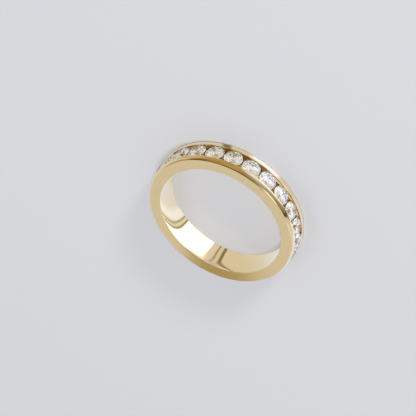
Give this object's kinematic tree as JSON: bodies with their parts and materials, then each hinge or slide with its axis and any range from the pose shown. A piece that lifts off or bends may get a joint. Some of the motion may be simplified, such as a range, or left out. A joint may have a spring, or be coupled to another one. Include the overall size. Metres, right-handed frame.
{
  "type": "channel set band",
  "caption": "Finger ring: a polished gold band whose two rails hold a full circle of round brilliant stones in a channel.",
  "frame": {"origin": "centre of the ring on the surface it lies on: the middle of the bore at the lower side face", "axes": "+Z along the finger, up through the bore; +X from the axis through the middle of stone_01"},
  "size_m": [0.02, 0.02, 0.0036],
  "materials": {
    "gold": "polished yellow gold, 18 carat",
    "stone": "clear brilliant cut, polished"
  },
  "bodies": {
    "root": {"band": "gold", "stone_01": "stone", "stone_02": "stone", "stone_03": "stone", "stone_04": "stone", "stone_05": "stone", "stone_06": "stone", "stone_07": "stone", "stone_08": "stone", "stone_09": "stone", "stone_10": "stone", "stone_11": "stone", "stone_12": "stone", "stone_13": "stone", "stone_14": "stone", "stone_15": "stone", "stone_16": "stone", "stone_17": "stone", "stone_18": "stone", "stone_19": "stone", "stone_20": "stone", "stone_21": "stone", "stone_22": "stone", "stone_23": "stone", "stone_24": "stone"}
  },
  "joints": []
}
